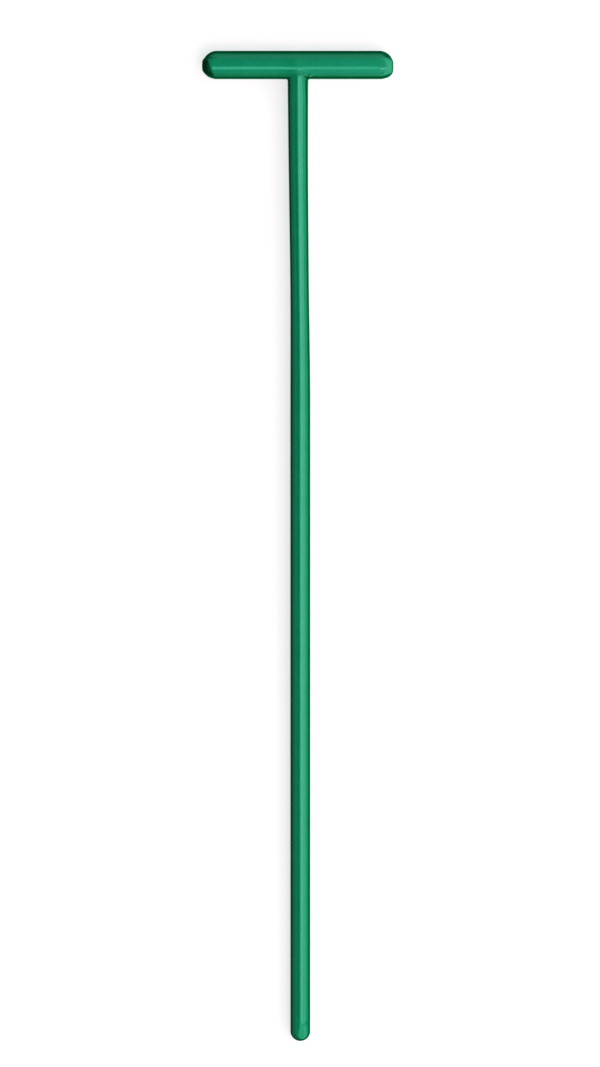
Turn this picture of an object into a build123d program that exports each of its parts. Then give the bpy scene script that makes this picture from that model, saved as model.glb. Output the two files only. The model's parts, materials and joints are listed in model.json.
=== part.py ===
"""T-shaped cell spreader: one injection-moulded piece of glossy plastic.

A round cross bar with domed ends spreads cells over a culture dish. A long, thin, round shaft leaves
the middle of the bar, is a little taller than wide at its root, narrows to a waist, thickens again and
runs straight to a domed tip.

The spreader lies as it rests on a bench: the bar runs along X at the +Y end, the shaft runs towards -Y,
and +Z is up. The bar and the tip both touch the bench, at Z = 0. The origin is at the middle of the
base. All sizes are in millimetres.
"""
from build123d import *
import math
import os

# Cross bar
bar_length = 29.0           # over the two domes
bar_diameter = 4.3

# Shaft, with distances measured from the bar's axis
shaft_reach = 150.3         # to the centre of the domed tip
shaft_diameter = 3.0        # of the straight grip
waist_diameter = 2.8        # at the thinnest place
waist_at = 33.5
straight_from = 52.5        # where the full diameter and the straight axis begin
side_set = 0.36             # how far the axis eases towards +X by straight_from

# Root, where the shaft meets the bar
root_width = 3.08
root_height = 3.5
crown_length = 4.0          # from the bar's underside to where the extra height has faded out
root_fillet = 0.3

# About how far apart the neck's sections lie
crown_spacing = 1.25
neck_spacing = 4.2

bar_r = bar_diameter / 2
shaft_r = shaft_diameter / 2
waist_r = waist_diameter / 2
root_half_width = root_width / 2
root_half_height = root_height / 2

# Turned about the bar's axis by this angle, the thinner shaft lies with its tip on the bench.
lean = math.degrees(math.asin((bar_r - shaft_r) / shaft_reach))


def ease(share):
    """Rise from 0 to 1 with a level start and a level end."""
    share = min(max(share, 0), 1)
    return share * share * (3 - 2 * share)


def neck_half_width(distance):
    """Half-width of the neck at a distance from the bar's axis."""
    if distance < waist_at:
        share = max(distance - bar_r, 0) / (waist_at - bar_r)
        return waist_r + (root_half_width - waist_r) * (1 - share) ** 1.5
    rise = ease((distance - waist_at) / (straight_from - waist_at))
    return waist_r + (shaft_r - waist_r) * rise


def neck_half_height(distance):
    """Half-height of the neck: its half-width, with the crown on top near the root."""
    share = max(distance - bar_r, 0) / crown_length
    crown = (root_half_height - root_half_width) * (1 - ease(share))
    return neck_half_width(distance) + crown


def axis_offset(distance):
    """How far the shaft's axis stands towards +X at a distance from the bar's axis."""
    return side_set * ease((distance - bar_r) / (straight_from - bar_r))


def neck_section(distance):
    """The neck's outline across the shaft at a distance from the bar's axis."""
    plane = Plane(
        origin=(axis_offset(distance), -distance, 0),
        x_dir=(1, 0, 0),
        z_dir=(0, -1, 0),
    )
    return plane * Ellipse(neck_half_width(distance), neck_half_height(distance))


def neck_distances():
    """Distances of the sections: close together in the crown, then wider apart."""
    crown_end = bar_r + crown_length
    in_crown = round(crown_end / crown_spacing)
    beyond = round((straight_from - crown_end) / neck_spacing)
    near = [crown_end * step / in_crown for step in range(in_crown)]
    far = [crown_end + (straight_from - crown_end) * step / beyond for step in range(beyond + 1)]
    return near + far


def round_rod(radius, straight, plane):
    """A cylinder on the given plane, with a dome on its far end."""
    body = plane * Cylinder(radius, straight, align=(Align.CENTER, Align.CENTER, Align.MIN))
    dome = plane.offset(straight) * Sphere(radius)
    return body + dome


def cross_bar():
    """The bar: half of it towards each side, domed at the end."""
    half = bar_length / 2 - bar_r
    towards_right = Plane(origin=(0, 0, 0), z_dir=(1, 0, 0))
    towards_left = Plane(origin=(0, 0, 0), z_dir=(-1, 0, 0))
    return round_rod(bar_r, half, towards_right) + round_rod(bar_r, half, towards_left)


def straight_grip():
    """The straight stretch of the shaft, to its domed tip."""
    start = Plane(origin=(side_set, -straight_from, 0), z_dir=(0, -1, 0))
    return round_rod(shaft_r, shaft_reach - straight_from, start)


def neck():
    """The stretch that carries the root, the waist and the sideways ease of the axis."""
    return loft([neck_section(distance) for distance in neck_distances()])


def root_edges(body):
    """The edges of the seam where the neck comes out of the bar."""
    seam_y = -bar_r * 1.05
    crown_y = -math.sqrt(bar_r**2 - root_half_height**2) * 0.95
    edges = []
    for edge in body.edges():
        middle = edge.center(CenterOf.BOUNDING_BOX)
        near_axis = abs(middle.X) < root_half_width
        if near_axis and seam_y < middle.Y < crown_y and edge.bounding_box().size.X > root_half_width / 2:
            edges.append(edge)
    return edges


def cell_spreader():
    """The whole spreader, in the place where it rests."""
    body = cross_bar() + neck() + straight_grip()
    body = fillet(root_edges(body), root_fillet)
    tip_y = -shaft_reach * math.cos(math.radians(lean)) - shaft_r
    middle_y = (bar_r + tip_y) / 2
    return Pos(0, -middle_y, bar_r) * Rot(lean, 0, 0) * body


os.makedirs("parts", exist_ok=True)
spreader = cell_spreader()
export_step(spreader, "parts/cell_spreader.step")

box = spreader.bounding_box()
print("lean in degrees", round(lean, 4))
print("box", [round(value, 4) for value in (*box.min, *box.max)])
print("volume", round(spreader.volume, 3), "solids", len(spreader.solids()))
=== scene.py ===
# %% [markdown]
# # A moulded cell spreader
#
# This lesson dresses one small object: a T-shaped spreader, moulded in one shot from glossy green
# plastic. A bar slides over the jelly in a culture dish and a long thin shaft is held in the
# fingers. The construction model gives the main sizes, and everything here is built around it, in
# metres. The form of the bar's ends, the flats, the small marks and the lamps aren't in that model,
# so they have named sizes and places of their own.

# %% Load the frame
import json
import math

import bmesh
import bpy
import numpy as np
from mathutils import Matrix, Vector


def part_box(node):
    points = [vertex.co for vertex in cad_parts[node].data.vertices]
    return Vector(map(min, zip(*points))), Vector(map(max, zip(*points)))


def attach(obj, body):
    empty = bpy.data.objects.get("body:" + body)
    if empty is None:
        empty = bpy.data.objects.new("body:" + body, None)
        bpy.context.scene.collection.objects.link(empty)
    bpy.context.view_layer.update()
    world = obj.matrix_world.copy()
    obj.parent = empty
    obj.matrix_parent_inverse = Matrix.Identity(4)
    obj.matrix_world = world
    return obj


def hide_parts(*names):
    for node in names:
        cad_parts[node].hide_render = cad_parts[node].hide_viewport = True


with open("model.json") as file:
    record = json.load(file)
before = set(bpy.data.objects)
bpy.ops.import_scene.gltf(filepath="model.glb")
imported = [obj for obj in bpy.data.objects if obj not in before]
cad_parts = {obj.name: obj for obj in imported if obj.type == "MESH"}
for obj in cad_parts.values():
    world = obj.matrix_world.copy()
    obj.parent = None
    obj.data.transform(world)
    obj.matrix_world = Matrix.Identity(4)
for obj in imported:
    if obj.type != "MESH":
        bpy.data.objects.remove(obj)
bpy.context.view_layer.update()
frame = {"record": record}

# %% [markdown]
# ## Sizes
#
# The bar's length and thickness are the width and height of the node's box. The straight part of
# the shaft is a mount of the record, so its radius, length, middle and direction are read from
# there. The neck's few other sizes are named here, as they are in the construction model.

# %% Sizes from the frame
millimetre = 0.001

low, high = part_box("cell_spreader")
bar_radius = (high.z - low.z) / 2
bar_half_length = (high.x - low.x) / 2
bar_centre = Vector((0, high.y - bar_radius, bar_radius))

grip = next(mount for mount in frame["record"]["mounts"] if mount["name"] == "shaft_grip")
shaft_radius = grip["dims"]["r_mm"] * millimetre
grip_length = grip["dims"]["length_mm"] * millimetre
shaft_axis = Vector(grip["axis"]).normalized()
shaft_up = Vector((1, 0, 0)).cross(shaft_axis) * -1
side_set = grip["pos_m"][0]
grip_middle = (Vector(grip["pos_m"]) - bar_centre).dot(shaft_axis)
straight_from = grip_middle - grip_length / 2
reach = grip_middle + grip_length / 2

print("bar radius and half length", round(bar_radius, 5), round(bar_half_length, 5))
print("shaft radius", shaft_radius, "straight from", round(straight_from, 5), "to", round(reach, 5))
print("shaft runs along", tuple(round(value, 5) for value in shaft_axis))

# %% Sizes of the neck
waist_radius = 1.4 * millimetre
waist_at = 33.5 * millimetre
root_half_width = 1.54 * millimetre
root_half_height = 1.75 * millimetre
crown_length = 4.0 * millimetre
root_fillet = 0.3 * millimetre
print("waist", 2 * waist_radius, "wide, root", 2 * root_half_width, "by", 2 * root_half_height)

# %% [markdown]
# ## The form of the shaft
#
# The real shaft isn't a plain rod. It leaves the bar a little taller than wide, thins to a waist,
# and thickens again while its axis eases to one side, perhaps because the thin moulding bent a
# little as it cooled. A lathe profile can't ease sideways and a bevelled curve can't be taller than
# wide. So the section is a small function of the distance from the bar, and a skin is laid over its
# rings.

# %% How the section changes
def ease(share):
    """Rise from 0 to 1 with a level start and a level end."""
    share = min(max(share, 0.0), 1.0)
    return share * share * (3 - 2 * share)


def half_width(along):
    """Half the shaft's width at a distance from the bar's axis."""
    if along < waist_at:
        share = max(along - bar_radius, 0) / (waist_at - bar_radius)
        return waist_radius + (root_half_width - waist_radius) * (1 - share) ** 1.5
    rise = ease((along - waist_at) / (straight_from - waist_at))
    return waist_radius + (shaft_radius - waist_radius) * rise


def half_height(along):
    """Half the shaft's height: its half width, and the crown near the root."""
    share = max(along - bar_radius, 0) / crown_length
    return half_width(along) + (root_half_height - root_half_width) * (1 - ease(share))


def axis_side(along):
    """How far the shaft's axis has eased to +X."""
    return side_set * ease((along - bar_radius) / (straight_from - bar_radius))


for distance in (0.0025, waist_at, straight_from):
    print("at", round(distance, 4), "half width", round(half_width(distance), 6))

# %% [markdown]
# ## A skin of rings
#
# A mesh of even quads takes a glossy highlight without a ripple, which triangles from a Boolean
# would not. Points are kept as (across, along the shaft, up), because the bar and the shaft are
# simple in those axes, and are turned into the frame's axes at the end. Patches share their border
# points, which are welded into one surface.

# %% Skin builder
class Skin:
    """Rows of points, and the quads between them."""

    def __init__(self):
        self.points = []
        self.faces = []

    def row(self, points):
        """Add points and give back their numbers."""
        start = len(self.points)
        self.points.extend(points)
        return list(range(start, len(self.points)))

    def strip(self, first, second, closed):
        """Lay quads between two rows, round to the start again where the rows are rings."""
        count = len(first)
        last = count if closed else count - 1
        for index in range(last):
            after = (index + 1) % count
            self.faces.append((first[index], first[after], second[after], second[index]))

    def sheet(self, rows, closed):
        """Add rows of points and lay a strip between each two."""
        placed = [self.row(points) for points in rows]
        for first, second in zip(placed, placed[1:]):
            self.strip(first, second, closed)
        return placed

    def cap(self, row, point):
        """Close the last ring with a fan of triangles."""
        tip = self.row([point])[0]
        for index in range(len(row)):
            self.faces.append((row[index], row[(index + 1) % len(row)], tip))


skin = Skin()
print("the skin starts with", len(skin.points), "points")

# %% [markdown]
# ## Where the shaft meets the bar
#
# A mould maker would cut this corner with a small ball-nosed cutter, so the fillet is the path of a
# rolling ball that touches both surfaces. For each angle round the shaft the ball's centre is
# worked out, and an arc is laid from its touching point on the bar to the one on the shaft. The
# bar's side of that curve then spreads out to a rectangle that the bar's own grid can join.

# %% Points of the two surfaces
def shaft_point(angle, along):
    """A point of the shaft's surface."""
    return (
        axis_side(along) + half_width(along) * math.cos(angle),
        along,
        half_height(along) * math.sin(angle),
    )


def bar_point(across, turn):
    """A point of the bar's surface: turn is 0 on the shaft's side and a quarter turn on top."""
    return (across, bar_radius * math.cos(turn), bar_radius * math.sin(turn))


print("top of the shaft's root", round(shaft_point(math.pi / 2, bar_radius)[2], 6))

# %% Rolling-ball fillet
around_shaft = 128
fillet_steps = 8
fillet_tries = 6


def fillet_arc(angle):
    """The points of the fillet from the bar to the shaft, at one angle round the shaft."""
    along = bar_radius
    for _ in range(fillet_tries):
        wide, tall = half_width(along), half_height(along)
        normal = np.array([math.cos(angle) / wide, 0, math.sin(angle) / tall])
        normal /= np.linalg.norm(normal)
        touch = np.array(shaft_point(angle, along))
        centre = touch + root_fillet * normal
        along = math.sqrt((bar_radius + root_fillet) ** 2 - centre[2] ** 2)
    centre[1] = along
    touch[1] = along
    shrink = bar_radius / (bar_radius + root_fillet)
    on_bar = np.array([centre[0], centre[1] * shrink, centre[2] * shrink])
    start = (on_bar - centre) / root_fillet
    stop = (touch - centre) / root_fillet
    opening = math.acos(float(np.clip(start @ stop, -1, 1)))
    points = []
    for step in range(fillet_steps + 1):
        share = step / fillet_steps
        first = math.sin((1 - share) * opening) / math.sin(opening)
        second = math.sin(share * opening) / math.sin(opening)
        points.append(tuple(centre + root_fillet * (first * start + second * stop)))
    return points


angles = [2 * math.pi * index / around_shaft for index in range(around_shaft)]
arcs = [fillet_arc(angle) for angle in angles]
fillet_rows = [[arc[step] for arc in arcs] for step in range(fillet_steps + 1)]
skin.sheet(fillet_rows, closed=True)
fillet_end = max(point[1] for point in fillet_rows[-1])
print("fillet leaves the shaft", round(fillet_end, 5), "from the bar's axis")

# %% The bar round the root
patch_rows_up = 48
patch_rows_across = 16
patch_half_width = 2.6 * millimetre
spread_steps = 7
spread_start = 0.6


def patch_border():
    """(across, turn) round the rectangle of the bar that holds the root, in the arcs' order."""
    quarter = math.pi / 2
    half_up = patch_rows_up // 2
    side = [quarter * step / half_up for step in range(half_up)]
    down = [quarter - 2 * quarter * step / patch_rows_up for step in range(patch_rows_up)]
    top = [1 - 2 * step / patch_rows_across for step in range(patch_rows_across)]
    border = [(patch_half_width, turn) for turn in side]
    border += [(patch_half_width * share, quarter) for share in top]
    border += [(-patch_half_width, turn) for turn in down]
    border += [(-patch_half_width * share, -quarter) for share in top]
    border += [(patch_half_width, turn - quarter) for turn in side]
    return border


border = patch_border()
seam = [(point[0], math.asin(point[2] / bar_radius)) for point in fillet_rows[0]]
spread_rows = []
for step in range(spread_steps + 1):
    share = step / spread_steps
    share = share * (spread_start + (1 - spread_start) * share)
    spread_rows.append([
        bar_point(inner[0] + (outer[0] - inner[0]) * share,
                  inner[1] + (outer[1] - inner[1]) * share)
        for inner, outer in zip(seam, border)
    ])
skin.sheet(spread_rows, closed=True)
print("border points", len(border), "seam points", len(seam))

# %% [markdown]
# ## The ends of the bar
#
# The ends of the real bar aren't true half balls. Seen from above, the corner of the right end
# towards the shaft is squarer than the other one, and the top carries on nearly level before it
# drops. Half spheres would be simpler, but the highlights would then run wrong. A superellipse
# holds all of that: its exponent is 2 for a half ball and grows for a blunter end, and here it
# changes with the angle round the bar. A shallow cone takes the edge off the right end.

# %% Form of the ends
around_bar = 96
dome_start = bar_half_length - bar_radius
dome_steps = 40
near_until = 0.45
top_from = 0.95
right_end = {"reach": 0.955 * bar_radius, "near": 2.8, "far": 2.0, "top": 5.5, "far_until": 0.53}
left_end = {"reach": 0.985 * bar_radius, "near": 2.1, "far": 1.85, "top": 5.5, "far_until": 0.66}
cone_from = 0.3
cone_slope = 0.34
cone_blend = 24


bar_turns = [math.pi / 2 + 2 * math.pi * index / around_bar for index in range(around_bar)]


def end_exponent(form, turn):
    """How blunt the end is at an angle round the bar."""
    side, until = ("near", near_until) if math.cos(turn) > 0 else ("far", form["far_until"])
    rise = ease((math.sin(turn) - until) / (top_from - until))
    return form[side] + (form["top"] - form[side]) * rise


def end_distance(form, turn, opening):
    """From the middle of the end's base to its surface."""
    exponent = end_exponent(form, turn)
    round_part = (math.cos(opening) / bar_radius) ** exponent
    end_part = (math.sin(opening) / form["reach"]) ** exponent
    return (round_part + end_part) ** (-1 / exponent)


def cone_distance(opening):
    """The same for the shallow cone that takes the edge off the right end."""
    slope = math.cos(opening) + math.sin(opening) * cone_slope
    return bar_radius * (1 + cone_from * cone_slope) / slope


def both_limits(first, second):
    """A soft smaller one of two distances."""
    return (first**-cone_blend + second**-cone_blend) ** (-1 / cone_blend)


def end_ring(side, form, opening):
    """A ring of the end: opening is 0 where the end begins and a quarter turn at its middle."""
    points = []
    for turn in bar_turns:
        distance = end_distance(form, turn, opening)
        if side > 0:
            begins = both_limits(bar_radius, cone_distance(0))
            distance = both_limits(distance, cone_distance(opening)) * bar_radius / begins
        radius = distance * math.cos(opening)
        across = dome_start + distance * math.sin(opening)
        points.append((side * across, radius * math.cos(turn), radius * math.sin(turn)))
    return points


print("ends begin", round(dome_start, 5), "from the middle")

# %% The rest of the bar
bar_step = 2 * patch_half_width / patch_rows_across
back_turns = [math.pi / 2 + math.pi * index / patch_rows_up for index in range(patch_rows_up + 1)]
back_columns = [patch_half_width - bar_step * index for index in range(patch_rows_across + 1)]
back_rows = [[bar_point(across, turn) for turn in back_turns] for across in back_columns]
skin.sheet(back_rows, closed=False)

arm_steps = round((dome_start - patch_half_width) / bar_step)
for side, form in ((1, right_end), (-1, left_end)):
    rings = []
    for index in range(arm_steps + 1):
        across = patch_half_width + (dome_start - patch_half_width) * index / arm_steps
        rings.append([bar_point(side * across, turn) for turn in bar_turns])
    for index in range(1, dome_steps):
        rings.append(end_ring(side, form, math.pi / 2 * index / dome_steps))
    placed = skin.sheet(rings, closed=True)
    middle = skin.points[placed[-1][0]][0]
    skin.cap(placed[-1], (middle, 0, 0))
print("bar columns on each arm", arm_steps)

# %% [markdown]
# ## The shaft and its tip
#
# The real shaft ends in a plain dome. Rings follow the section function from the fillet to the tip,
# close together where the form changes or small marks come later, and wider apart on the straight
# grip, which keeps the mesh light. The dome's rings come closer as they shrink, and a fan closes
# the last one.

# %% The shaft and its tip
root_end = 3.6 * millimetre
tip_zone = 5.0 * millimetre
root_rows = 10
crown_step = 0.25 * millimetre
neck_step = 1.0 * millimetre
grip_step = 1.5 * millimetre
tip_step = 0.1 * millimetre


def even_steps(start, stop, step):
    """Places from start to stop, both kept, about one step apart."""
    count = max(1, round((stop - start) / step))
    return [start + (stop - start) * index / count for index in range(count + 1)]


leaving = [point[1] for point in fillet_rows[-1]]
rows = []
for step in range(root_rows + 1):
    share = step / root_rows
    places = [start + (root_end - start) * share for start in leaving]
    rows.append([shaft_point(angle, along) for angle, along in zip(angles, places)])

crown_end = bar_radius + crown_length
stations = even_steps(root_end, crown_end, crown_step)[1:]
stations += even_steps(crown_end, straight_from, neck_step)[1:]
stations += even_steps(straight_from, reach - tip_zone, grip_step)[1:]
stations += even_steps(reach - tip_zone, reach, tip_step)[1:]
rows += [[shaft_point(angle, along) for angle in angles] for along in stations]

for index in range(1, dome_steps):
    turn = math.pi / 2 * index / dome_steps
    along = reach + shaft_radius * math.sin(turn)
    radius = shaft_radius * math.cos(turn)
    rows.append([
        (side_set + radius * math.cos(angle), along, radius * math.sin(angle))
        for angle in angles
    ])
placed = skin.sheet(rows, closed=True)
skin.cap(placed[-1], (side_set, reach + shaft_radius, 0))
print("shaft rings", len(rows))

# %% [markdown]
# ## Flats on the ends
#
# The left end of the real bar slants down in a bevel, which may be where the plastic came in, and
# the top of the shaft's tip has a small flat. They are pressed into the finished rings, because a
# Boolean cut would leave long thin faces. Each is a function of a point, so it doesn't matter which
# patch the point belongs to. A soft edge keeps the crease from being a knife.

# %% Pressing a point back
crease = 0.03 * millimetre
soft_crease = 0.06 * millimetre
surely_above = 30


def overhang(height, edge):
    """What stands above a surface, rounded off over about the width of edge."""
    over = height / edge
    return edge * (over if over > surely_above else math.log1p(math.exp(over)))


def press_flat(point, through, normal, edge):
    """Push a point back to a plane if it stands above it."""
    normal = normal / np.linalg.norm(normal)
    return point - normal * overhang(float((point - through) @ normal), edge)


print("crease", crease, "overhang at the crease", round(overhang(0, crease), 7))

# %% Flats on the ends
left_tip = -bar_half_length
bevel_far = (left_tip + 0.86 * millimetre, -1.33 * millimetre)
bevel_near = (left_tip + 1.87 * millimetre, 1.6 * millimetre)
bevel_bow = 0.3
bevel_least_run = 0.05 * millimetre
tip_flat_through = np.array([side_set, reach - 0.3 * millimetre, 1.47 * millimetre])
tip_flat_normal = np.array([0.22, 0.14, 1.0])
tip_flat_zone = 4 * millimetre


def press_bevel(place):
    """Lower the left end's top half to a ruled bevel, from a straight crease to the outline."""
    across, along, up = place
    down_crease = (along - bevel_far[1]) / (bevel_near[1] - bevel_far[1])
    crease_across = bevel_far[0] + (bevel_near[0] - bevel_far[0]) * down_crease
    exponent = end_exponent(left_end, 0 if along > 0 else math.pi)
    width = 1 - min(abs(along) / bar_radius, 1) ** exponent
    outline = -dome_start - left_end["reach"] * width ** (1 / exponent)
    run = max(crease_across - outline, bevel_least_run)
    share = (across - outline) / run
    bow = 1 + bevel_bow * max(1 - share, 0)
    ceiling = math.sqrt(max(bar_radius**2 - along**2, 0)) * share * bow
    return np.array([across, along, max(up - overhang(up - ceiling, crease), min(up, 0))])


def moulded(point):
    """The point with the mould's flats pressed in."""
    place = np.array(point)
    if place[0] < -dome_start and place[2] > 0:
        place = press_bevel(place)
    if place[1] > reach - tip_flat_zone:
        place = press_flat(place, tip_flat_through, tip_flat_normal, soft_crease)
    return tuple(place)


smooth_points = skin.points
skin.points = [moulded(point) for point in smooth_points]
pressed = sum(math.dist(*pair) > crease for pair in zip(smooth_points, skin.points))
print("points pressed back", pressed, "of", len(skin.points))

# %% [markdown]
# ## Relief of a moulding
#
# Two halves of the mould leave a faint raised line at mid height. The plastic shrinks unevenly, so
# the skin wavers by a few thousandths of a millimetre, which a glossy finish shows at once. The
# bevel has a low rib, the bar swells a little over the joint and has three tiny marks beside it,
# and a shallow nick crosses the tip. Sculpting would do, but couldn't be repeated exactly. So all
# of it is a height over the smooth skin, and every point is moved along its own normal by that
# height.

# %% Sizes of the relief
parting_height = 0.015 * millimetre
parting_width = 0.06 * millimetre
waver_height = 0.003 * millimetre
waver_length = 5 * millimetre
nick = {
    "start": (side_set + 0.2 * millimetre, reach - 0.87 * millimetre),
    "stop": (side_set + 0.95 * millimetre, reach - 1.6 * millimetre),
    "height": -0.02 * millimetre, "widths": (0.1 * millimetre, 0.1 * millimetre),
}
rib = {
    "start": (left_tip + 0.62 * millimetre, -0.58 * millimetre),
    "stop": (left_tip + 1.08 * millimetre, 0.84 * millimetre),
    "height": 0.035 * millimetre, "widths": (0.12 * millimetre, 0.12 * millimetre),
}
ridge = {
    "start": (0.1 * millimetre, 0.9 * millimetre),
    "stop": (0.1 * millimetre, 1.5 * millimetre),
    "height": 0.05 * millimetre, "widths": (0.9 * millimetre, 2.0 * millimetre),
}
marks = [
    {"across": 0.17, "along": 0.12, "height": 0.015, "shine": 1.0, "wide": 0.16},
    {"across": 0.40, "along": 1.53, "height": 0.03, "shine": 0.4, "wide": 0.16},
    {"across": 1.92, "along": 1.36, "height": 0.05, "shine": 1.0, "wide": 0.3},
]
mark_width = 0.2 * millimetre
print("marks beside the joint", len(marks))


# %% Heights over the skin
def swell(distance, width):
    """A soft bump: 1 in its middle and next to nothing at twice its width."""
    return math.exp(-((distance / width) ** 2))


def line_swell(across, along, line):
    """A soft bump along a straight stretch seen from above, with its own width on each side."""
    start, stop = Vector(line["start"]), Vector(line["stop"])
    run = stop - start
    away = Vector((across, along)) - start
    share = min(max(away.dot(run) / run.length_squared, 0), 1)
    right_width, left_width = line["widths"]
    on_right = run.cross(away) * (1 if run.y < 0 else -1) > 0
    width = right_width if on_right else left_width
    return line["height"] * swell((away - run * share).length, width)


def relief(point):
    """How far the skin stands out of its smooth form at a point."""
    across, along, up = point
    height = parting_height * swell(up, parting_width)
    turns_across, turns_along = across / waver_length, along / waver_length
    wave = math.sin(2 * math.pi * turns_across) + math.sin(2 * math.pi * turns_along)
    height += waver_height * wave / 2
    if up > 0:
        height += sum(line_swell(across, along, line) for line in (nick, rib, ridge))
        for mark in marks:
            centre = (mark["across"] * millimetre, mark["along"] * millimetre)
            away = math.dist((across, along), centre)
            height += mark["height"] * millimetre * swell(away, mark_width)
    return height


print("relief on the parting line", round(relief((0, bar_radius, 0)), 7))

# %% [markdown]
# ## Weld the patches
#
# The patches meet point for point, so a merge by distance of a micrometre closes their seams.
# Joining separate objects with a Boolean would cut the even quads apart. In the middle of the left
# end the bevel has pressed some points closer together than a micrometre, and the merge takes those
# too. That leaves a few edges there without exactly two faces, which the last line counts; a merge
# before the bevel is pressed would leave none. The piece then rides on the part's only body and
# stands in for its node.

# %% To the frame's axes and back
weld_distance = 0.001 * millimetre


def to_frame(point):
    """From (across, along, up) to the frame's axes."""
    across, along, up = point
    return bar_centre + Vector((across, 0, 0)) + shaft_axis * along + shaft_up * up


def from_frame(place):
    """From the frame's axes back to (across, along, up)."""
    away = place - bar_centre
    return away.x, away.dot(shaft_axis), away.dot(shaft_up)


print("the tip lies at", tuple(round(value, 5) for value in to_frame((side_set, reach, 0))))

# %% Make the mesh
mesh = bpy.data.meshes.new("spreader_skin")
mesh.from_pydata([to_frame(point) for point in skin.points], [], skin.faces)
work = bmesh.new()
work.from_mesh(mesh)
bmesh.ops.remove_doubles(work, verts=work.verts, dist=weld_distance)
bmesh.ops.recalc_face_normals(work, faces=work.faces)
odd_edges = sum(1 for edge in work.edges if not edge.is_manifold)
for face in work.faces:
    face.smooth = True
work.normal_update()
for vertex, normal in [(vertex, vertex.normal.copy()) for vertex in work.verts]:
    vertex.co += normal * relief(from_frame(vertex.co))
work.to_mesh(mesh)
work.free()

spreader = bpy.data.objects.new("spreader_skin", mesh)
bpy.context.scene.collection.objects.link(spreader)
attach(spreader, "root")
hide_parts("cell_spreader")
print("faces", len(mesh.polygons), "edges without exactly two faces", odd_edges)

# %% [markdown]
# ## Writing shaders as sums
#
# A node tree is easier to read as arithmetic. A small class wraps a socket, and its operators add
# the Math nodes. Every other node comes from one method, which takes a node's type, its settings
# and what its sockets get: a number, a colour, or another node's output.

# %% Shader arithmetic
class Signal:
    """A socket that takes part in Python arithmetic."""

    def __init__(self, shader, socket):
        self.shader = shader
        self.socket = socket

    def math(self, operation, first, second):
        """Add a Math node for an operation on two values."""
        return self.shader.node("ShaderNodeMath", {"operation": operation}, {0: first, 1: second})

    def __add__(self, other):
        return self.math("ADD", self, other)

    def __radd__(self, other):
        return self.math("ADD", other, self)

    def __sub__(self, other):
        return self.math("SUBTRACT", self, other)

    def __rsub__(self, other):
        return self.math("SUBTRACT", other, self)

    def __mul__(self, other):
        return self.math("MULTIPLY", self, other)

    def __rmul__(self, other):
        return self.math("MULTIPLY", other, self)


class Shader:
    """A material's or the world's node tree."""

    def __init__(self, owner):
        owner.use_nodes = True
        self.tree = owner.node_tree
        self.tree.nodes.clear()

    def node(self, kind, settings, sockets, output=0):
        """Add a node, set and link it, and give back one of its outputs."""
        made = self.tree.nodes.new(kind)
        for name, value in settings.items():
            setattr(made, name, value)
        for name, value in sockets.items():
            if isinstance(value, Signal):
                self.tree.links.new(value.socket, made.inputs[name])
            else:
                made.inputs[name].default_value = value
        if not made.outputs:
            return None
        return Signal(self, made.outputs[output])


print("operators that add a Math node: + - *")

# %% [markdown]
# ## Green moulded plastic
#
# The spreader is polystyrene or a like plastic, dyed right through, opaque and glossy. Three things
# keep it from looking like paint. The dye is a little uneven, in soft clouds, fine grains and
# streaks along the flow of the melt. The skin copies the mould's polish, so it has an orange peel a
# few thousandths of a millimetre high. And handling has left hairline scratches. A painted image
# would give all that too, but would blur up close, so the patterns are made by nodes and sized in
# millimetres.

# %% Patterns in the plastic
def grains(shader, place, size, detail=2.0):
    """Soft noise around a half, with grains about as large as size."""
    return shader.node("ShaderNodeTexNoise", {}, {
        "Vector": place, "Scale": 1 / size, "Detail": detail,
    })


def stretched(shader, place, factors):
    """The place with its axes stretched: a pattern is drawn out along those with small factors."""
    return shader.node("ShaderNodeVectorMath", {"operation": "MULTIPLY"}, {0: place, 1: factors})


def between(shader, value, low, high, low_result=0.0, high_result=1.0):
    """Rise softly from one result to the other while the value goes from low to high."""
    return shader.node("ShaderNodeMapRange", {"interpolation_type": "SMOOTHSTEP"}, {
        "Value": value, "From Min": low, "From Max": high,
        "To Min": low_result, "To Max": high_result,
    })


dark_dye = (0.0008, 0.138, 0.055, 1)
light_dye = (0.0012, 0.184, 0.075, 1)
along_the_flow = (1, 0.04, 1)


def dye_colour(shader, place, grain):
    """The dye's colour, a little uneven in clouds, grains and streaks along the flow."""
    clouds = grains(shader, place, 3.0 * millimetre)
    streaks = grains(shader, stretched(shader, place, along_the_flow), 0.5 * millimetre)
    share = clouds * 0.8 + grain * 0.7 + streaks * 0.5 - 0.5
    return shader.node("ShaderNodeMix", {"data_type": "RGBA"}, {
        0: share, 6: dark_dye, 7: light_dye,
    }, output=2)


print("streaks are", round(1 / along_the_flow[1]), "times as long as wide")

# %% Hairline scratches
scratch_ways = [(0.35, 1.6 * millimetre), (-0.9, 2.3 * millimetre)]
scratch_share = 0.025
scratch_patch = 2.5 * millimetre


def hairlines(shader, place, turn, spacing):
    """1 on thin, long, straight scratches that run at an angle, and 0 beside them."""
    turned = shader.node("ShaderNodeVectorRotate", {"rotation_type": "Z_AXIS"}, {
        "Vector": place, "Angle": turn,
    })
    drawn = stretched(shader, turned, (1, 0.06, 0.3))
    edge = shader.node("ShaderNodeTexVoronoi", {"feature": "DISTANCE_TO_EDGE"}, {
        "Vector": drawn, "Scale": 1 / spacing,
    })
    line = between(shader, edge, 0.0, scratch_share, 1.0, 0.0)
    return line * between(shader, grains(shader, place, scratch_patch), 0.52, 0.62)


print("scratches run", len(scratch_ways), "ways")
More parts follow.
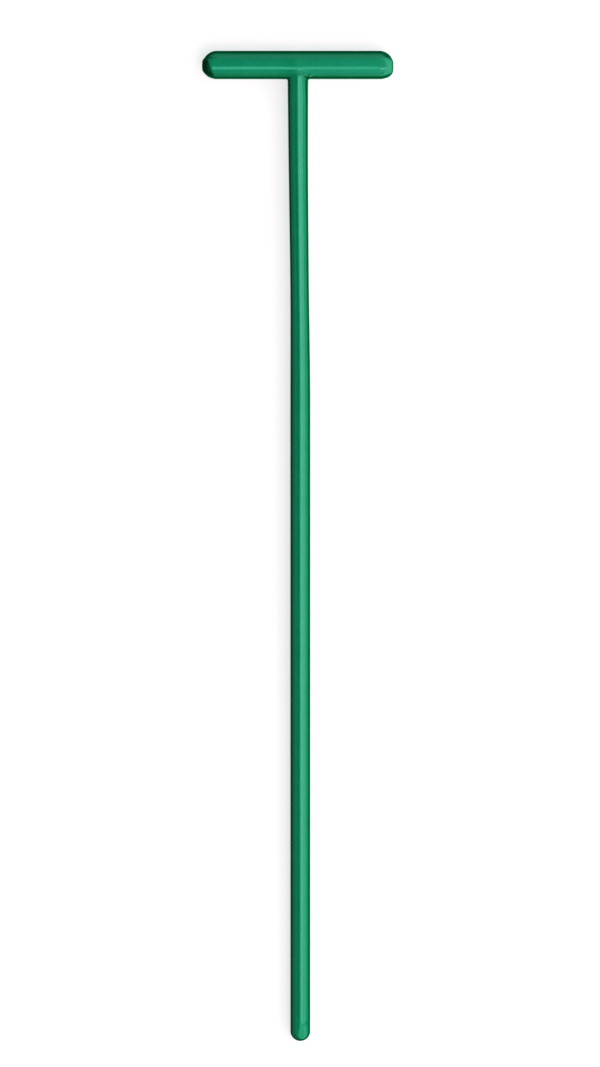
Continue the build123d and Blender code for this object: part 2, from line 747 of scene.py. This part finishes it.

# %% [markdown]
# ## Finish on the small marks
#
# The tiny marks beside the joint are clear and glassy, and along the nick at the tip shade is
# painted, with the darker slanting finish.
# Both are masks: 1 on the mark and 0 elsewhere. They are measured from points of the finished skin,
# so they stay where the relief is.

# %% Masks of the marks
upper_skin = [(vertex.co, from_frame(vertex.co)) for vertex in mesh.vertices if vertex.normal.z > 0]
spot_core = 0.12
nick_core = 0.5
nick_shade_width = 0.4 * millimetre


def on_skin(across, along):
    """The point of the upper skin next to a place seen from above."""
    return min(upper_skin, key=lambda pair: math.dist(pair[1][:2], (across, along)))[0]


def spot(shader, place, mark):
    """A small round spot of the skin, which fades out at its edge."""
    across, along, wide = (mark[name] * millimetre for name in ("across", "along", "wide"))
    away = shader.node("ShaderNodeVectorMath", {"operation": "DISTANCE"}, {
        0: place, 1: tuple(on_skin(across, along)),
    }, output=1)
    return between(shader, away, wide * spot_core, wide, 1.0, 0.0)


def along_line(shader, place, line, wide):
    """A straight stretch of the skin between two places, which fades out beside it."""
    start, stop = (on_skin(*line[name]) for name in ("start", "stop"))
    run = tuple(stop - start)
    away = shader.node("ShaderNodeVectorMath", {"operation": "SUBTRACT"}, {
        0: place, 1: tuple(start),
    })
    passed = shader.node("ShaderNodeVectorMath", {"operation": "DOT_PRODUCT"}, {
        0: away, 1: run,
    }, output=1)
    share = shader.node("ShaderNodeMath", {"operation": "DIVIDE", "use_clamp": True}, {
        0: passed, 1: (stop - start).length_squared,
    })
    nearest = shader.node("ShaderNodeVectorMath", {"operation": "SCALE"}, {0: run, 3: share})
    distance = shader.node("ShaderNodeVectorMath", {"operation": "DISTANCE"}, {
        0: away, 1: nearest,
    }, output=1)
    return between(shader, distance, wide * nick_core, wide, 1.0, 0.0)


print("nick runs from", tuple(round(value, 5) for value in on_skin(*nick["start"])))

# %% [markdown]
# ## The plastic's shine
#
# A dyed, glossy moulding shows a pale sheen where it faces us. Where it turns away, shade is
# painted
# in: the dye is darkened under a tinted layer and the shine fades and takes a green colour, so the
# rims stay dark, and at the lowest angles it mirrors more again. One glossy shader can't do all
# that.
# So a facing and a slanting finish are mixed by Layer Weight, which depends only on how the surface
# is turned.

# %% Facing finish
plastic_index = 1.58
sheen_tint = (0.19, 1.0, 0.74, 1)


def facing_finish(shader, dye, roughness, normal, glassy):
    """The glossy plastic as it faces us, with a clear coat on the glassy marks."""
    return shader.node("ShaderNodeBsdfPrincipled", {}, {
        "Base Color": dye, "Roughness": roughness, "IOR": plastic_index, "Normal": normal,
        "Specular Tint": sheen_tint, "Coat Weight": glassy,
    })


print("sheen tint of a facing surface", sheen_tint)

# %% Slanting finish
# The layer tint darkens the dye where the surface turns away: painted shade at the rims.
rim_shade_tint = (0.34, 0.63, 0.52, 1)
mirror_tint = (0.05, 1.0, 0.62, 1)
mirror_roughness = 0.13


def slanting_finish(shader, dye, roughness, normal, slant):
    """Painted shade for surfaces that turn away: the dye darkened under a tinted layer, with a
    little green mirror over it.
    """
    shaded_dye = shader.node("ShaderNodeBsdfPrincipled", {}, {
        "Base Color": dye, "Roughness": roughness, "Specular IOR Level": 0.0, "Normal": normal,
        "Coat Weight": between(shader, slant, 0.6, 0.85, 1.0, 0.4), "Coat IOR": 1.0,
        "Coat Tint": rim_shade_tint,
    })
    green_mirror = shader.node("ShaderNodeBsdfAnisotropic", {}, {
        "Color": mirror_tint, "Roughness": mirror_roughness, "Normal": normal,
    })
    near_facing = between(shader, slant, 0.27, 0.55, 0.08, 0.0)
    at_rims = between(shader, slant, 0.6, 0.85, 0.0, 0.2)
    mirrored = near_facing + at_rims
    return shader.node("ShaderNodeMixShader", {}, {0: mirrored, 1: shaded_dye, 2: green_mirror})


print("tints of a slanting surface: layer", rim_shade_tint, "mirror", mirror_tint)

# %% Plastic material
def green_plastic():
    """Glossy green plastic with its uneven dye, orange peel, scratches and marks."""
    material = bpy.data.materials.new("green_plastic")
    shader = Shader(material)
    place = shader.node("ShaderNodeTexCoord", {}, {}, output=3)
    grain = grains(shader, place, 0.3 * millimetre, 3.0)
    dye = dye_colour(shader, place, grain)
    one_way, other_way = (hairlines(shader, place, *way) for way in scratch_ways)
    scratches = one_way + other_way

    roughness = 0.1 + grain * 0.06 + scratches * 0.12
    peel = grains(shader, place, 0.45 * millimetre, 1.0)
    skin_height = peel * 0.6 + grain * 0.4 - scratches * 0.5
    normal = shader.node("ShaderNodeBump", {}, {
        "Strength": 1.0, "Distance": 0.004 * millimetre, "Height": skin_height,
    })

    first, second, third = (spot(shader, place, mark) * mark["shine"] for mark in marks)
    glassy = first + second + third
    # Along the nick the darker slanting finish is painted in: painted shade in the groove.
    nick_shade = along_line(shader, place, nick, nick_shade_width)
    slant = shader.node("ShaderNodeLayerWeight", {}, {"Blend": 0.5}, output=1)
    facing = facing_finish(shader, dye, roughness, normal, glassy)
    slanting = slanting_finish(shader, dye, roughness, normal, slant)
    # The slanting finish is painted shade. It is mixed in where the surface turns away and along
    # the nick.
    shaded_share = between(shader, slant, 0.08, 0.45) * (1 - glassy) + nick_shade
    surface = shader.node("ShaderNodeMixShader", {}, {0: shaded_share, 1: facing, 2: slanting})
    shader.node("ShaderNodeOutputMaterial", {}, {"Surface": surface})
    return material


plastic = green_plastic()
spreader.data.materials.append(plastic)
print("nodes in the plastic", len(plastic.node_tree.nodes))

# %% [markdown]
# ## Floor and surroundings
#
# The bench is pale. Part of its brightness is real light, which lets the object's soft shadow show,
# and the rest is an even glow for the rays that look at it, so that it stays white across the view.
# More light would make it white too, but would bleach the object.

# %% Floor
floor_half = 6.0
floor_grey = (0.3, 0.3, 0.3, 1)
floor_glow = 0.7


def seen_by_eye(shader):
    """1 for the rays of the camera and for those that a shine or clear stuff passes on, else 0."""
    ways = {"camera": 0, "glossy": 3, "transmission": 6}
    camera_ray, glossy_ray, transmission_ray = (
        shader.node("ShaderNodeLightPath", {}, {}, output=place) for place in ways.values()
    )
    return camera_ray + glossy_ray + transmission_ray


def pale_bench():
    """A grey that the lamps light, with a glow on top."""
    material = bpy.data.materials.new("pale_bench")
    shader = Shader(material)
    lit = shader.node("ShaderNodeBsdfDiffuse", {}, {"Color": floor_grey})
    lift = shader.node("ShaderNodeEmission", {}, {"Strength": seen_by_eye(shader) * floor_glow})
    both = shader.node("ShaderNodeAddShader", {}, {0: lit, 1: lift})
    shader.node("ShaderNodeOutputMaterial", {}, {"Surface": both})
    return material


floor_mesh = bpy.data.meshes.new("floor")
corners = [(-1, -1), (1, -1), (1, 1), (-1, 1)]
floor_points = [(x * floor_half, y * floor_half, 0) for x, y in corners]
floor_mesh.from_pydata(floor_points, [], [(0, 1, 2, 3)])
floor = bpy.data.objects.new("floor", floor_mesh)
bpy.context.scene.collection.objects.link(floor)
floor.data.materials.append(pale_bench())
print("floor", 2 * floor_half, "m wide")

# %% [markdown]
# ## World
#
# Round the bench the room is nearly dark, so that the lamps alone shape the highlights. Only the
# band just above the horizon is white for the rays that look, which carries the bench's white on.

# %% World
room_light = 0.02
world = bpy.data.worlds.new("studio")
bpy.context.scene.world = world
shader = Shader(world)
direction = shader.node("ShaderNodeTexCoord", {}, {}, output=0)
height = shader.node("ShaderNodeSeparateXYZ", {}, {0: direction}, output=2)
band = between(shader, height, 0.08, 0.2, 1.0, 0.0)
glow = room_light + band * seen_by_eye(shader)
around = shader.node("ShaderNodeBackground", {}, {"Color": (1, 1, 1, 1), "Strength": glow})
shader.node("ShaderNodeOutputWorld", {}, {"Surface": around})
print("nodes in the world", len(world.node_tree.nodes))

# %% [markdown]
# ## Lamps
#
# A round glossy rod mirrors the whole room as thin stripes along it, so the highlights are drawn by
# where the soft panels hang. A strip over the shaft makes its long narrow highlight, the larger
# panels to the right light that side, and the left stays darker. A picture of a room could do it
# too, but panels can be moved one by one. Their level is a radiance, so a larger panel isn't a
# brighter one. A few are warm, cool or greenish, as light is that reaches an object past coloured
# things.

# %% Hanging a lamp
def hang_lamp(name, facing, corner_low, corner_high, place, level, tint):
    """A rectangular soft lamp, measured from the bench under the bar's middle.

    facing "down" hangs over the bench at the height of place, with corners (x, y). The others stand
    at the distance of place on that side of the bench, with corners (along, height).
    """
    size = [corner_high[0] - corner_low[0], corner_high[1] - corner_low[1]]
    middle = [(corner_low[0] + corner_high[0]) / 2, (corner_low[1] + corner_high[1]) / 2]
    quarter = math.pi / 2
    location, rotation = {
        "down": ((middle[0], middle[1], place), (0, 0, 0)),
        "from right": ((place, middle[0], middle[1]), (quarter, 0, quarter)),
        "from left": ((-place, middle[0], middle[1]), (quarter, 0, -quarter)),
        "from far": ((middle[0], place, middle[1]), (quarter, 0, 2 * quarter)),
        "from near": ((middle[0], -place, middle[1]), (quarter, 0, 0)),
    }[facing]
    data = bpy.data.lights.new(name, "AREA")
    data.shape = "RECTANGLE"
    data.size, data.size_y = size
    data.energy = level * math.pi * size[0] * size[1]
    data.color = tint
    lamp = bpy.data.objects.new(name, data)
    lamp.location = Vector(location) + Vector((bar_centre.x, bar_centre.y, 0))
    lamp.rotation_euler = rotation
    lamp.visible_camera = False
    bpy.context.scene.collection.objects.link(lamp)


plain = (1.0, 1.0, 1.0)
warm = (1.6, 1.0, 1.08)
cool = (0.8, 1.0, 1.0)
shade = (0.5, 1.0, 0.8)
cyan = (0.45, 1.0, 0.95)
pale_cyan = (0.6, 1.0, 1.0)
print("tints of the lamps", plain, warm, cool, shade, cyan, pale_cyan)

# %% Lamps
lamps = [
    ("far strip", "down", (-0.015, -0.02), (0.06, 1.2), 0.62, 1.75, cyan),
    ("accent left", "down", (-0.035, -0.29), (0.0, -0.03), 0.62, 5.3, cool),
    ("accent right", "down", (0.0, -0.25), (0.06, -0.02), 0.62, 3.7, cool),
    ("near strip", "down", (0.0, -1.2), (0.06, -0.25), 0.62, 2.4, pale_cyan),
    ("near middle", "down", (0.06, -0.9), (0.4, -0.34), 0.62, 2.0, plain),
    ("near left", "down", (-0.6, -1.2), (-0.06, -0.42), 0.62, 0.9, shade),
    ("near strip left", "down", (-0.06, -1.2), (0.0, -0.29), 0.62, 0.3, plain),
    ("key", "down", (0.06, -0.33), (0.3, -0.10), 0.60, 4.7, warm),
    ("wide key", "down", (0.3, -0.33), (0.95, -0.10), 0.60, 3.3, warm),
    ("far middle", "down", (0.06, -0.09), (0.4, 1.2), 0.61, 1.3, plain),
    ("far right", "down", (0.4, -0.09), (1.2, 1.2), 0.61, 3.3, plain),
    ("near right", "down", (0.4, -1.2), (1.2, -0.34), 0.61, 3.02, plain),
    ("right panel", "from right", (-1.2, 0.02), (1.2, 0.6), 1.2, 1.4, plain),
    ("far panel", "from far", (-0.03, 0.15), (0.3, 0.6), 1.2, 1.3, plain),
    ("near panel", "from near", (0.0, 0.05), (0.3, 0.6), 1.2, 1.9, plain),
    ("far right panel", "from far", (0.3, 0.1), (1.2, 0.6), 1.2, 2.2, plain),
    ("near right panel", "from near", (0.3, 0.1), (1.2, 0.6), 1.2, 3.0, plain),
    ("left fill", "down", (-1.2, -0.45), (-0.5, -0.15), 0.61, 0.95, shade),
    ("left panel", "from left", (-0.6, 0.3), (-0.15, 0.6), 1.2, 0.8, shade),
]
for lamp_facts in lamps:
    hang_lamp(*lamp_facts)
print("lamps", len(lamps))

# %% [markdown]
# ## Camera
#
# The spreader is looked at from nearly overhead and a little from the bar's side, with a long lens
# from far away, which keeps the shaft's sides parallel. Aiming by a share of the shaft's length
# keeps the object near its place in the view if that length changes.

# %% Camera
metres_seen = 0.16195
camera_distance = 3.0
camera_far_enough = 20
camera_tilt = math.radians(12.3)
aim_share = 0.4822
aim_side = 0.31 * millimetre

aim = bar_centre + shaft_axis * (reach * aim_share) + Vector((aim_side, 0, 0))
towards_camera = Vector((0, math.sin(camera_tilt), math.cos(camera_tilt)))
camera_data = bpy.data.cameras.new("camera")
camera_data.lens = camera_data.sensor_width * camera_distance / metres_seen
camera_data.clip_end = camera_far_enough
camera = bpy.data.objects.new("camera", camera_data)
camera.location = aim + towards_camera * camera_distance
camera.rotation_euler = (-camera_tilt, 0, 0)
bpy.context.scene.collection.objects.link(camera)
bpy.context.scene.camera = camera
bpy.context.scene.view_settings.view_transform = "Standard"
print("lens", round(camera_data.lens, 1))
